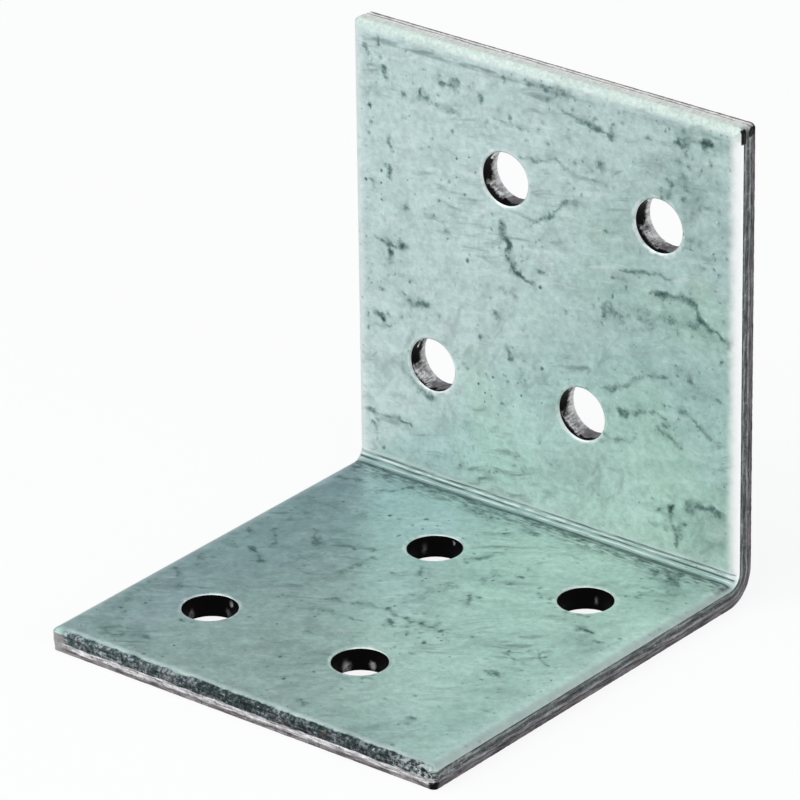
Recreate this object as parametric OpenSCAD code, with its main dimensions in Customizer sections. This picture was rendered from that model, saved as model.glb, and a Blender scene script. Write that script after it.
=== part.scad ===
// Corner brace bracket: one strip of zinc coated steel sheet, sheared to size, punched with
// staggered screw holes and folded once to a right angle.
//
// The fold runs along X. The flat leg lies on z = 0 and reaches towards -Y. The upright leg
// stands at the +Y end. The origin is the middle of the footprint, on the underside.
// The shear and the punches entered from the inner faces, so every cut edge has the same
// section: a rolled corner at the inner face, a straight cut band, and a torn band that draws
// back a little towards the outer face.

/* [Strip] */
// Width of the strip, along the fold
strip_w = 38; // [32:0.5:60]
// Thickness of the sheet
sheet_t = 2; // [1.5:0.1:3]
// Radius inside the fold
fold_r = 0.8; // [0.5:0.1:1.5]

/* [Legs] */
// Height of the upright leg, from the underside of the flat leg
upright_h = 40.5; // [36:0.5:70]
// Depth of the flat leg, from the outer face of the upright leg
flat_d = 40; // [36:0.5:70]

/* [Screw holes] */
// Diameter of each screw hole
hole_d = 4.5; // [3:0.1:5.5]
// Distance between the two holes of a row
hole_pitch = 15; // [10:0.5:16]
// Sideways step from one row to the next
row_step = 7.5; // [0:0.5:8]
// Distance of each leg's outer row from its free end
end_margin = 10; // [6:0.1:12]
// Distance between the two rows of the upright leg
upright_row_gap = 18.2; // [10:0.1:19]
// Distance between the two rows of the flat leg
flat_row_gap = 18.7; // [10:0.1:19]

/* [Cut edges] */
// Radius of the rolled corner along the sheared edges
edge_roll_r = 1; // [0.5:0.1:1.5]
// Depth of that rolled corner, into the thickness
edge_roll_depth = 0.4; // [0.1:0.05:0.45]
// Height of the torn band along the sheared edges, from the outer face
edge_torn_h = 0.85; // [0.3:0.05:1]
// How far the torn band draws back at the outer face
edge_torn_in = 0.08; // [0.02:0.01:0.2]
// Radius of the sheet's corners, seen square on to the face
corner_r = 0.5; // [0.2:0.1:2]

/* [Hole edges] */
// Radius of the rolled lip round each hole
lip_r = 0.35; // [0.2:0.05:0.6]
// Depth of that lip, into the thickness
lip_depth = 0.1; // [0.05:0.05:0.15]
// Height of the torn band inside each hole, from the outer face
hole_torn_h = 0.7; // [0.3:0.05:1]
// How much wider the hole's radius is at the outer face
hole_torn_out = 0.05; // [0.02:0.01:0.15]

/* [Hidden] */
$fn = 96;
cut_over = 1; // how far a cutter runs past the face that it cuts
half_w = strip_w / 2;
heel_y = flat_d / 2;
outer_fold_r = fold_r + sheet_t;
hole_r = hole_d / 2;
edge_roll_w = arc_reach(edge_roll_r, edge_roll_depth);
lip_w = arc_reach(lip_r, lip_depth);
upright_straight = upright_h - outer_fold_r;
flat_straight = flat_d - outer_fold_r;
steel = [0.66, 0.75, 0.73];

// How far along a face an arc of this radius reaches before it has sunk to this depth
function arc_reach(radius, depth) = sqrt(pow(radius, 2) - pow(radius - depth, 2));

// What a cut takes off one sheared edge, seen along the edge. The edge is the line x = 0,
// with the sheet at x < 0, its outer face on y = 0 and its inner face on y = sheet_t.
module edge_waste() {
    difference() {
        translate([-edge_roll_w, sheet_t - edge_roll_depth])
            square([edge_roll_w + cut_over, edge_roll_depth + cut_over]);
        translate([-edge_roll_w, sheet_t - edge_roll_r])
            circle(r = edge_roll_r);
    }
    draw_back = edge_torn_in / edge_torn_h;
    polygon([
        [0, edge_torn_h],
        [-edge_torn_in - cut_over * draw_back, -cut_over],
        [cut_over, -cut_over],
        [cut_over, edge_torn_h]
    ]);
}

// The strip's section across its width, outer face on y = 0
module strip_section() {
    difference() {
        translate([-half_w, 0])
            square([strip_w, sheet_t]);
        translate([half_w, 0])
            edge_waste();
        mirror([1, 0])
            translate([half_w, 0])
                edge_waste();
    }
}

// A leg's section along its length, free end on x = 0
module leg_section(length) {
    difference() {
        square([length, sheet_t]);
        mirror([1, 0])
            edge_waste();
    }
}

// A leg's outline, free end on y = 0
module leg_outline(length) {
    translate([-half_w, corner_r])
        square([strip_w, length - corner_r]);
    translate([corner_r - half_w, 0])
        square([strip_w - 2 * corner_r, length]);
    for (side = [-1, 1])
        translate([side * (half_w - corner_r), corner_r])
            circle(r = corner_r);
}

// One leg without its holes, lying on its outer face with its free end on y = 0
module leg(length) {
    intersection() {
        translate([0, length, 0])
            rotate([90, 0, 0])
                linear_extrude(length)
                    strip_section();
        rotate([90, 0, 90])
            linear_extrude(strip_w + 2 * cut_over, center = true)
                leg_section(length);
        linear_extrude(sheet_t)
            leg_outline(length);
    }
}

// The quarter turn of sheet between the legs, about an axis along X
module fold() {
    rotate([0, 90, 0])
        rotate_extrude(angle = 90)
            translate([outer_fold_r, 0])
                rotate(90)
                    strip_section();
}

// One punched hole, from the outer face on z = 0 to the inner face
module hole_waste() {
    widen = hole_torn_out / hole_torn_h;
    translate([0, 0, -cut_over])
        cylinder(r = hole_r, h = sheet_t + 2 * cut_over);
    translate([0, 0, -cut_over])
        cylinder(
            r1 = hole_r + hole_torn_out + cut_over * widen,
            r2 = hole_r,
            h = hole_torn_h + cut_over
        );
    rotate_extrude()
        difference() {
            translate([hole_r - lip_r, sheet_t - lip_depth])
                square([lip_r + lip_w, lip_depth + cut_over]);
            translate([hole_r + lip_w, sheet_t - lip_r])
                circle(r = lip_r);
        }
}

// Two rows of two holes in a leg that lies on its outer face. Its outer row is shifted
// to outer_side, and the row near the fold the other way.
module hole_pattern(row_gap, outer_side) {
    for (row = [0, 1])
        for (place = [-0.5, 0.5])
            translate([
                (row == 0 ? outer_side : -outer_side) * row_step / 2 + place * hole_pitch,
                end_margin + row * row_gap,
                0
            ])
                hole_waste();
}

module flat_leg() {
    translate([0, -heel_y, 0])
        difference() {
            leg(flat_straight);
            hole_pattern(flat_row_gap, -1);
        }
}

// The leg is built flat and turned upright, which also turns left to right
module upright_leg() {
    translate([0, heel_y, upright_h])
        rotate([-90, 0, 180])
            difference() {
                leg(upright_straight);
                hole_pattern(upright_row_gap, -1);
            }
}

module corner_brace() {
    color(steel) {
        flat_leg();
        upright_leg();
        translate([0, heel_y - outer_fold_r, outer_fold_r])
            fold();
    }
}

corner_brace();
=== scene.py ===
"""Looks for the corner brace bracket: one folded strip of zinc coated sheet steel."""

import math
from functools import cached_property

import bpy
import numpy as np
from mathutils import Matrix, Vector
from mathutils.geometry import delaunay_2d_cdt


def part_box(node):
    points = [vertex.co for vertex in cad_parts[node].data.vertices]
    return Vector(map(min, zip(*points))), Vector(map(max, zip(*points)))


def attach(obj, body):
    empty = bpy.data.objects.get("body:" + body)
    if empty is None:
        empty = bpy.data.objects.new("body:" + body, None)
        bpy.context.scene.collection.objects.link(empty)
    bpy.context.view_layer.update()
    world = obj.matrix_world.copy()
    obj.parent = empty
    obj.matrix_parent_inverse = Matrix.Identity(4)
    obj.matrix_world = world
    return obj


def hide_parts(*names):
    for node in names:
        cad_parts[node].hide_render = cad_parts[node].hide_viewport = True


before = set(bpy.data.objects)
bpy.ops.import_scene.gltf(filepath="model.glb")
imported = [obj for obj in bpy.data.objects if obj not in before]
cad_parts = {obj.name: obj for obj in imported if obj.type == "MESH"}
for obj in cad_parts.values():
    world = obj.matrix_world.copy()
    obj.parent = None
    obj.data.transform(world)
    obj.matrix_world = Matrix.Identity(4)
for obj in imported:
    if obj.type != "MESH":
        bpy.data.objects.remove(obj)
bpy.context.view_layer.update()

# Sizes in millimetres, the same as in the part's source
MM = 0.001
NODE = "corner_brace"
low, high = (np.array(corner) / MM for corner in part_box(NODE))
HALF_W = (high[0] - low[0]) / 2
HEEL_Y = high[1]
FRONT_Y = low[1]
TOP_Z = high[2]
SHEET = 2.0
FOLD_IN = 0.8
FOLD_OUT = FOLD_IN + SHEET
FLAT_RUN = HEEL_Y - FRONT_Y - FOLD_OUT
UP_RUN = TOP_Z - FOLD_OUT
FOLD_RUN = math.pi / 2 * (FOLD_IN + SHEET / 2)
UP_START = FLAT_RUN + FOLD_RUN
STRIP_LEN = UP_START + UP_RUN

HOLE_R = 2.25
PITCH = 15.0
STEP = 7.5
MARGIN = 10.0
FLAT_GAP = 18.7
UP_GAP = 18.2

ROLL_R = 1.0
ROLL_DEPTH = 0.4
TORN_H = 0.85
TORN_IN = 0.08
CORNER_R = 0.5
LEAST_CORNER_R = 0.02
LIP_R = 0.35
LIP_DEPTH = 0.1
HOLE_TORN_H = 0.7
HOLE_TORN_OUT = 0.05

# Over which length the looks of one leg change into those of the other
LEG_BLEND = 1.5

# Spacing of the mesh points in millimetres, with the jitter as a share of it, and counts of them
EDGE_STEP = 0.16
FACE_STEP = 0.34
FACE_JITTER = 0.08
STAIN_STEP = 0.15
STAIN_JITTER = 0.2
STAIN_OFF_FOLD = 0.3
OUTER_STEP = 0.64
HOLE_POINTS = 120
FOLD_ROWS = 16
ROLL_ROWS = 6
LIP_ROWS = 4

# The torn bands: how high one climbs in a hole, towards which side of it in degrees, how far round,
# and how much its upper line wanders
HOLE_CLIMB = 0.85
CLIMB_SIDE_UPRIGHT = -143
CLIMB_SIDE_FLAT = -40
CLIMB_SPREAD = 36
TORN_LINE_WANDER = 0.05

# How deep the faces bow, how far off edges and holes that starts, and over which length it grows
BOW_DEPTH = 0.02
BOW_OFF_EDGE = 0.8
BOW_OFF_HOLE = 0.25
BOW_GROWTH = 2.5

SHARP_ANGLE = 32
SEED = 7
CDT_INSIDE = 1
CDT_EPSILON = 1e-9
TINY = 1e-6

# Dirt marks on the inner faces: (half width, strength, points of the stroke). One point makes a
# spot. On the upright leg a point is (x, z) and on the flat leg it is (x, y).
UPRIGHT_MARKS = [
    (0.8, 0.45, [(14.5, 38.5), (16.6, 38.7)]), (0.34, 1, [(15, 38.6), (15.6, 38.5)]),
    (0.3, 1, [(16.3, 38.8)]), (0.22, 0.5, [(13.9, 37.9), (13.2, 37.8)]),
    (1.3, 0.24, [(12.6, 37), (13.6, 34), (15.6, 34.6)]), (0.3, 0.7, [(13.9, 34.4), (13.6, 35.6)]),
    (0.22, 0.65, [(12.4, 33.5), (12.6, 34.2)]), (0.22, 0.75, [(16.8, 33.4)]),
    (0.3, 0.6, [(13.7, 32.3)]), (0.26, 0.75, [(14, 30.1), (14.5, 30.3)]),
    (0.22, 0.6, [(13.6, 29.2), (14.4, 29.3)]), (0.2, 0.7, [(0.2, 39.1), (1.8, 38.9), (3.1, 38.9)]),
    (0.24, 0.6, [(3.3, 39.5), (-1.3, 39.4)]),
    (0.26, 0.85, [(2, 37.9), (4.2, 37.4), (5.1, 37.2), (6.4, 37.1), (6.7, 36.5)]),
    (0.34, 0.8, [(-10.2, 37.4), (-8.5, 37.3)]), (0.3, 0.75, [(-6, 36.9)]),
    (0.32, 0.55, [(-12.4, 35.7), (-11.3, 35.2), (-8.4, 34.8)]),
    (0.18, 0.5, [(-4.8, 35.5), (-1.1, 35.1)]),
    (0.22, 0.65, [(-2.2, 32.9), (-0.6, 32.9), (1.1, 33.6), (2.1, 33), (3.6, 32.6), (6, 32.8)]),
    (0.24, 0.7, [(5.3, 33.9), (5.9, 34.1)]),
    (0.22, 0.65, [(-1.1, 27.4), (0.6, 28.4), (1.5, 29.2), (2.4, 30.4), (3.4, 30.4)]),
    (0.3, 0.7, [(0.5, 28.3)]),
    (0.28, 0.95, [(-4.2, 26.6), (-3.4, 24.9), (-3.4, 24.1), (-2.7, 22.9), (-2, 22.4), (-1.2, 22.2)]),
    (0.2, 0.6, [(-0.6, 23.5), (0.2, 23.7)]), (0.26, 0.75, [(2, 20.8)]), (0.26, 0.75, [(4.1, 19.7)]),
    (0.3, 0.85, [(-4.8, 18.6)]), (0.2, 0.5, [(-2.8, 21.2), (-4.2, 20.9)]),
    (0.28, 0.9, [(-16.9, 22), (-15.6, 21.7), (-14.1, 21.9), (-13.6, 22.2)]),
    (0.4, 0.9, [(-14.1, 22)]), (0.22, 0.7, [(-15.3, 21), (-15.3, 20.3)]),
    (0.25, 0.85, [(-13.9, 25.5)]), (0.24, 0.85, [(-15.4, 28.6), (-15.3, 27.8)]),
    (0.3, 0.75, [(-13.9, 18), (-13.3, 17.1), (-11.6, 17.5)]), (0.22, 0.55, [(-10.4, 16.8)]),
    (0.24, 0.85, [(-16.8, 15.4), (-16.2, 15)]), (0.2, 0.65, [(-17.8, 14.1), (-15.6, 14.6)]),
    (0.32, 0.75, [(-14.3, 11.3), (-12.9, 10), (-11.1, 9.3)]), (0.22, 0.6, [(-9.5, 9.2)]),
    (0.22, 0.8, [(-17.7, 6.7), (-16.1, 6.5), (-13.7, 6.4)]), (0.24, 0.5, [(-17.2, 5.2)]),
    (0.24, 0.7, [(-6.6, 3.5), (-5.1, 4.1)]), (0.5, 0.3, [(-3.4, 7.3), (-1.7, 6.1)]),
    (0.2, 0.7, [(7.3, 25.8), (9.2, 26), (10.7, 26.2), (12.3, 26.3)]),
    (0.2, 0.7, [(7.7, 25.1), (6.7, 24.7)]),
    (0.3, 0.9, [(10.9, 24.5), (12.6, 25), (14.6, 25), (15.2, 23.7), (16.3, 23), (18.2, 22.4)]),
    (0.7, 0.6, [(6, 22), (7.8, 22.1), (10, 22.4), (12.6, 22.9), (15.2, 23)]),
    (0.28, 0.65, [(5.9, 21.2)]),
    (0.24, 0.7, [(5.6, 15.2), (6.8, 15.2), (8.8, 16.6), (10.2, 17.4), (12.3, 17.7)]),
    (0.26, 0.7, [(7.7, 13.5), (9.8, 14), (11, 14.5), (12, 14.3)]),
    (0.22, 0.65, [(11.3, 13.3), (12.3, 12.7), (13.6, 12.3)]),
    (0.8, 0.28, [(13, 19.4), (14, 18), (16.4, 17.2)]), (0.24, 0.65, [(13.4, 15.6), (17.1, 13.4)]),
    (0.34, 0.8, [(18.4, 15.1)]), (0.16, 0.5, [(5.9, 11.3), (7.3, 11), (8.4, 11.1), (9.2, 12.1)]),
    (0.48, 1, [(12.6, 6.6), (13, 6.9)]),
    (0.42, 0.75, [(13.9, 7), (15.2, 7.6), (16.5, 7.7), (17.4, 7.6)]),
    (1.6, 0.2, [(14.8, 5.4), (16.4, 6)]), (0.24, 0.8, [(13.6, 5), (13, 4.2), (13.1, 3.5)]),
    (0.22, 0.85, [(10.6, 6.9)]), (0.18, 0.4, [(10.4, 4.8), (12.3, 5.1)]),
    (0.22, 0.75, [(-3.3, 15.1), (-3.7, 16.2)]), (0.26, 0.45, [(-2.4, 13.9), (-1.8, 13)]),
    (0.6, 0.3, [(0.5, 6.8), (2.2, 7.4)]), (0.22, 0.65, [(-17, 36.4), (-16.4, 36.3)]),
    (0.2, 0.6, [(-13.9, 39.8)]), (0.22, 0.5, [(-14, 35.2)]), (0.2, 0.5, [(-17.4, 34.6)]),
    (0.35, 0.3, [(-10, 31.4), (-9.6, 29.4)]), (0.35, 0.3, [(-8.9, 26.4), (-8.5, 25.4)]),
]
FLAT_MARKS = [
    (0.4, 0.6, [(-17.8, 13.9), (-16.4, 14.6)]), (0.28, 0.9, [(-12.7, 14.4)]),
    (0.22, 0.5, [(-13.4, 14.4), (-14.4, 12.7)]), (0.32, 1, [(-0.9, 13.9)]),
    (0.5, 0.55, [(0.6, 15.2), (1.4, 15.4)]), (0.55, 0.45, [(-6, 16), (-4.6, 15.8)]),
    (0.45, 0.8, [(14.4, 16.2), (14.9, 15.6)]), (0.9, 0.45, [(13.2, 15.4), (16.2, 14)]),
    (0.2, 0.5, [(14.4, 11.3)]), (0.3, 0.75, [(0.7, 10.1), (0, 9.2), (-0.6, 8.3)]),
    (0.24, 0.6, [(4.3, 8.9), (4.6, 8.6)]), (0.22, 0.45, [(2.6, 8.1), (3.4, 7.9)]),
    (0.22, 0.5, [(2.5, 6.8), (3.4, 6.4)]), (0.24, 0.85, [(3.3, 3.7), (4.2, 3), (4.7, 2.6)]),
    (0.24, 0.6, [(-2.5, 5.2), (-1.9, 4.2)]), (0.4, 0.6, [(-16, 5.4)]),
    (0.28, 0.8, [(-15.8, 3.7), (-15.1, 2.5), (-14.3, 1.2)]),
    (0.42, 0.75, [(-12.9, 4.8), (-12.2, 3.8), (-11.5, 3.5)]),
    (0.34, 0.55, [(-10.3, 4.3), (-8.5, 5.1), (-7.4, 5.4)]),
    (0.36, 0.6, [(-6.4, 4.3), (-6.9, 2.2), (-6.9, 0.6)]), (0.28, 0.6, [(-17.6, 2.2), (-16.9, 1.9)]),
    (0.28, 0.5, [(-17.4, -0.2), (-16.4, -0.8)]),
    (0.32, 0.9, [(-15.2, -0.1), (-14.3, -0.5), (-13.3, -1.4)]), (0.45, 0.5, [(-15.6, 7.5)]),
    (0.35, 0.3, [(-16.4, 9.3), (-14.8, 9.6)]), (0.28, 0.4, [(-13, 10.4), (-11.4, 9.7)]),
    (0.5, 0.3, [(-16.4, 12.7), (-15.8, 11.2)]), (0.35, 0.3, [(-11.8, 1.7), (-11.2, 0.9)]),
    (0.3, 0.65, [(-4.9, -3.4), (-3.2, -2.8), (-1.9, -2.3), (-0.6, -1.9)]),
    (0.26, 0.65, [(0, -2.1), (2, -2.3), (3.9, -2.3), (5.4, -2.3), (5.9, -1.9)]),
    (0.34, 0.85, [(2.2, -2.2)]), (0.34, 0.85, [(3.6, -2.3)]), (0.36, 0.9, [(5.6, -2.2)]),
    (0.3, 0.85, [(7.1, -3.2)]), (0.24, 0.85, [(1.4, -3.4), (2.3, -3.8)]),
    (0.3, 0.5, [(3.5, -4), (3, -4.9)]), (0.22, 0.7, [(5.7, -4.4)]),
    (0.34, 0.5, [(-4.8, -5.2), (-2.2, -4.9), (-0.2, -4.6)]),
    (0.7, 0.4, [(-2.4, -8.6), (-1.6, -8.5)]), (0.6, 0.3, [(-4.3, -6)]),
    (0.9, 0.35, [(0.6, 0.8), (0.8, 2.6), (1.2, 4.2)]), (0.24, 0.6, [(12.6, -4.4)]),
    (0.32, 0.9, [(13.4, -5.2)]), (0.22, 0.5, [(12, -2.4), (14.8, -2.9)]),
    (0.26, 0.5, [(14.3, 0.1), (13.9, -1.2), (15.4, -1.8)]), (0.26, 0.6, [(16.3, -10.4)]),
    (0.26, 0.75, [(12.6, -14.9)]), (0.26, 0.9, [(13.2, -15.7)]),
    (0.3, 0.95, [(13.6, 4.6), (15.2, 4.4)]), (0.3, 0.5, [(16.5, 3.7)]),
    (1, 0.28, [(14.2, 3), (16, 2.8)]), (0.22, 0.7, [(11.3, 6.3), (13.1, 6.4)]),
    (0.25, 0.6, [(8.1, 6.9)]),
    (0.28, 0.75, [(-15.4, -17.7), (-14.9, -18.3), (-13.5, -17.7), (-12.7, -16.9), (-11.4, -16.9)]),
    (0.35, 0.6, [(-17.9, -6.7), (-16.6, -7.1)]), (0.5, 0.35, [(-17.4, -12), (-17.1, -13.6)]),
    (0.26, 0.5, [(-15.8, -8.6), (-15.1, -9)]), (0.4, 0.4, [(-17.9, -3.7), (-16.9, -3.9)]),
    (0.28, 0.6, [(3.9, -17.4), (4.8, -18.2)]), (0.45, 0.45, [(4.3, -12.8), (5.7, -13.3)]),
    (1.6, 0.2, [(13, -4), (13.8, -11)]),
]

# Fine specks: (x, z or y, spread across, spread along, how many) of each cluster
UPRIGHT_SPECKS = [
    (0, 21, 10, 10, 60), (-17.5, 25, 0.3, 9, 22), (-9.2, 38, 1.8, 0.9, 16),
    (-12, 35.5, 0.8, 0.5, 12), (-16.6, 37.5, 1, 1.6, 26), (-14.5, 36, 2, 2, 16),
    (2, 38.5, 2.5, 0.8, 14), (-2.5, 35.4, 1.8, 0.5, 10), (6.4, 36.6, 0.5, 0.8, 5),
    (4.5, 33.5, 1.6, 0.7, 12), (12.9, 38, 0.7, 1, 18), (14, 35.8, 1.2, 1, 26),
    (13.6, 33.2, 1.4, 1, 16), (14.2, 29.8, 0.8, 0.5, 10), (16.5, 36, 0.8, 3, 10),
    (-15.3, 27.5, 0.5, 1.6, 10), (-13, 25.6, 1.5, 0.6, 8), (-9.6, 23.8, 0.7, 0.5, 5),
    (-15.2, 20.5, 0.8, 0.8, 8), (-16, 19.2, 1.3, 0.3, 8), (-13.2, 17.2, 1.2, 0.7, 14),
    (-16.8, 14.8, 0.9, 0.6, 7), (-2.2, 24.5, 1, 1, 10), (-3.6, 20.9, 1.2, 0.4, 6),
    (-5.5, 27.2, 1.6, 0.8, 8), (10, 24, 3, 1.2, 10), (7.5, 22.2, 1.5, 0.5, 8),
    (-2.6, 14.4, 1.2, 1, 10), (-6.3, 13, 1.2, 0.6, 8), (8.8, 13.6, 1.2, 0.8, 10),
    (12.4, 13.2, 1.2, 0.6, 8), (12.6, 16.2, 1.5, 0.8, 8), (14.3, 19, 1.5, 1, 8),
    (13, 4.6, 0.5, 1.2, 16), (13.4, 6.4, 0.9, 0.8, 10), (-16.5, 3.8, 1, 0.5, 8),
    (-9, 4.2, 4, 0.5, 8), (0, 22, 11, 11, 50), (17.2, 27, 0.5, 7, 24), (-17.3, 28, 0.5, 8, 20),
    (6, 34, 5, 2.5, 24),
]
FLAT_SPECKS = [
    (2, -2, 10, 10, 50), (0, 16.5, 12, 0.5, 50), (14.4, 16.2, 1.2, 0.6, 12),
    (13.9, 14.8, 0.7, 0.6, 6), (-17.6, 14, 0.6, 2, 10), (-14, 15.5, 3, 0.8, 12),
    (-0.6, 14.3, 0.8, 0.6, 5), (4.8, 10.5, 0.7, 2.5, 16), (3, 7, 1.2, 0.9, 12),
    (4, 3.5, 0.8, 0.8, 6), (13, -1, 1.5, 1.5, 22), (12.8, -4.6, 1.2, 1.5, 16),
    (14, -9, 1.8, 2.5, 12), (3.6, -3.4, 1.8, 1.2, 22), (-1, -1, 1, 0.6, 8),
    (13.2, -15.4, 0.8, 0.8, 6), (5, -12.8, 0.8, 0.8, 8), (6.3, -11.2, 0.6, 0.5, 6),
    (-17.2, -3, 0.5, 6, 24), (-17, -13, 0.6, 2.5, 12), (14.4, 12.5, 0.6, 1.5, 8),
    (8, 6.8, 1, 0.6, 5), (-16, -17, 1.5, 1, 8), (-11.3, -13, 0.6, 0.4, 5),
]
SPECK_HALF_WIDTH = (0.08, 0.18)
SPECK_STRENGTH = (0.40, 0.90)


def specks(clusters, seed):
    """Small seeded spots scattered over each cluster."""
    rng = np.random.default_rng(seed)
    spots = []
    for x, y, across, along, count in clusters:
        for _ in range(count):
            place = (x + across * rng.normal(), y + along * rng.normal())
            spots.append((rng.uniform(*SPECK_HALF_WIDTH), rng.uniform(*SPECK_STRENGTH), [place]))
    return spots


def strip_marks():
    """The dirt marks in strip coordinates."""
    marks = []
    for width, strength, points in UPRIGHT_MARKS + specks(UPRIGHT_SPECKS, SEED + 20):
        marks.append((width, strength, [(x, UP_START + z - FOLD_OUT) for x, z in points]))
    for width, strength, points in FLAT_MARKS + specks(FLAT_SPECKS, SEED + 21):
        marks.append((width, strength, [(x, y - FRONT_Y) for x, y in points]))
    return marks


class Waves:
    """A sum of seeded sine waves over the strip, about -1 to 1, the same in every run."""

    def __init__(self, seed, longest, shortest, count=24):
        rng = np.random.default_rng(seed)
        length = np.exp(rng.uniform(math.log(shortest), math.log(longest), count))
        angle = rng.uniform(0, 2 * math.pi, count)
        size = 2 * math.pi / length
        self.k = np.stack([np.cos(angle) * size, np.sin(angle) * size], 1)
        self.phase = rng.uniform(0, 2 * math.pi, count)
        self.gain = 1.3 / math.sqrt(count)

    def at(self, p, q):
        total = np.cos(np.outer(p, self.k[:, 0]) + np.outer(q, self.k[:, 1]) + self.phase)
        return total.sum(1) * self.gain


MARKS = strip_marks()

# A mark fades out over its half width times the reach and times the swelling of its outline
MARK_REACH = 1.9
MARK_WANDER = 0.11
SWELL_MEAN = 0.85
SWELL_SWING = 0.5
SWELL_RANGE = (0.35, 1.6)
SWELL_ROOM = 1.8
STAIN_LEAST = 0.08
wander_u = Waves(SEED + 4, 4.0, 1.1, 30)
wander_v = Waves(SEED + 5, 4.0, 1.1, 30)
swelling = Waves(SEED + 6, 3.0, 0.8, 30)


def segment_distance(uv, a, b):
    along = np.array(b) - a
    share = (uv - a) @ along / max(along @ along, 1e-12)
    nearest = a + np.clip(share, 0, 1)[:, None] * along
    return np.linalg.norm(uv - nearest, axis=1)


def smooth(share):
    """A share of 0 to 1, with soft ends."""
    return share * share * (3 - 2 * share)


def stain_at(uv):
    """How dark the dirt marks are at points of the strip, 0 to 1."""
    clean = np.ones(len(uv))
    u, v = uv.T
    pushed = uv + MARK_WANDER * np.stack([wander_u.at(u, v), wander_v.at(u, v)], 1)
    swell = np.clip(SWELL_MEAN + SWELL_SWING * swelling.at(u, v), *SWELL_RANGE)
    for width, strength, points in MARKS:
        pairs = list(zip(points, points[1:])) or [(points[0], points[0])]
        reach = MARK_REACH * width
        low_uv = np.min(points, axis=0) - SWELL_ROOM * reach
        high_uv = np.max(points, axis=0) + SWELL_ROOM * reach
        near = np.flatnonzero(((pushed > low_uv) & (pushed < high_uv)).all(1))
        if not len(near):
            continue
        gap = np.min([segment_distance(pushed[near], np.array(a), b) for a, b in pairs], axis=0)
        fade = np.clip(1 - gap / (reach * swell[near]), 0, 1)
        clean[near] *= 1 - strength * smooth(fade)
    return 1 - clean


def holes():
    """The middle of each hole on the strip, (u, v)."""
    middles = []
    for v, shift in (
        (MARGIN, -STEP / 2),
        (MARGIN + FLAT_GAP, STEP / 2),
        (STRIP_LEN - MARGIN - UP_GAP, -STEP / 2),
        (STRIP_LEN - MARGIN, STEP / 2),
    ):
        middles += [(shift - PITCH / 2, v), (shift + PITCH / 2, v)]
    return middles


HOLES = holes()


def fold(uvw):
    """Strip coordinates to the bracket's frame: u across, v along, w up from the outer face."""
    u, v, w = uvw.T
    turn = np.clip((v - FLAT_RUN) / FOLD_RUN, 0, 1) * math.pi / 2
    reach = FOLD_OUT - w
    y = HEEL_Y - FOLD_OUT + reach * np.sin(turn)
    z = FOLD_OUT - reach * np.cos(turn)
    y = y + np.minimum(v - FLAT_RUN, 0)
    z = z + np.maximum(v - UP_START, 0)
    return np.stack([u, y, z], 1)


def steps(length, step):
    return max(1, round(length / step))


def outline(inset, corner_points=8):
    """The strip's edge, drawn inset by that much, as points that match from ring to ring."""
    radius = max(CORNER_R - inset, LEAST_CORNER_R)
    right, far, near = HALF_W - inset - radius, STRIP_LEN - inset - radius, inset + radius
    turns = np.radians(90 * np.arange(corner_points + 1) / corner_points)
    arcs = []
    for cu, cv, start in (
        (right, near, -90),
        (right, far, 0),
        (-right, far, 90),
        (-right, near, 180),
    ):
        angle = turns + math.radians(start)
        arcs.append(np.stack([cu + radius * np.cos(angle), cv + radius * np.sin(angle)], 1))
    counts = [steps(STRIP_LEN - 2 * CORNER_R, EDGE_STEP), steps(2 * (HALF_W - CORNER_R), EDGE_STEP)] * 2
    points = []
    for i, arc in enumerate(arcs):
        a, b = arc[-1], arcs[(i + 1) % 4][0]
        share = np.arange(1, counts[i])[:, None] / counts[i]
        points += [arc, a + (b - a) * share]
    return np.concatenate(points)


def circle(centre, radius):
    a = np.linspace(0, 2 * math.pi, HOLE_POINTS, endpoint=False)
    return np.stack([centre[0] + radius * np.cos(a), centre[1] + radius * np.sin(a)], 1)


def roll_profile(radius, depth, count):
    """(inset, w) from the inner face down the rolled corner."""
    full = math.acos(1 - depth / radius)
    width = radius * math.sin(full)
    profile = []
    for i in range(count + 1):
        angle = full * i / count
        profile.append((width - radius * math.sin(angle), SHEET - radius + radius * math.cos(angle)))
    return profile


def inside(point, loop):
    """Whether a point is inside a closed loop, by counting crossings."""
    nxt = np.roll(loop, -1, axis=0)
    spans = (loop[:, 1] > point[1]) != (nxt[:, 1] > point[1])
    a, b = loop[spans], nxt[spans]
    cross = a[:, 0] + (point[1] - a[:, 1]) * (b[:, 0] - a[:, 0]) / (b[:, 1] - a[:, 1])
    return np.count_nonzero(cross > point[0]) % 2 == 1


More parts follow.
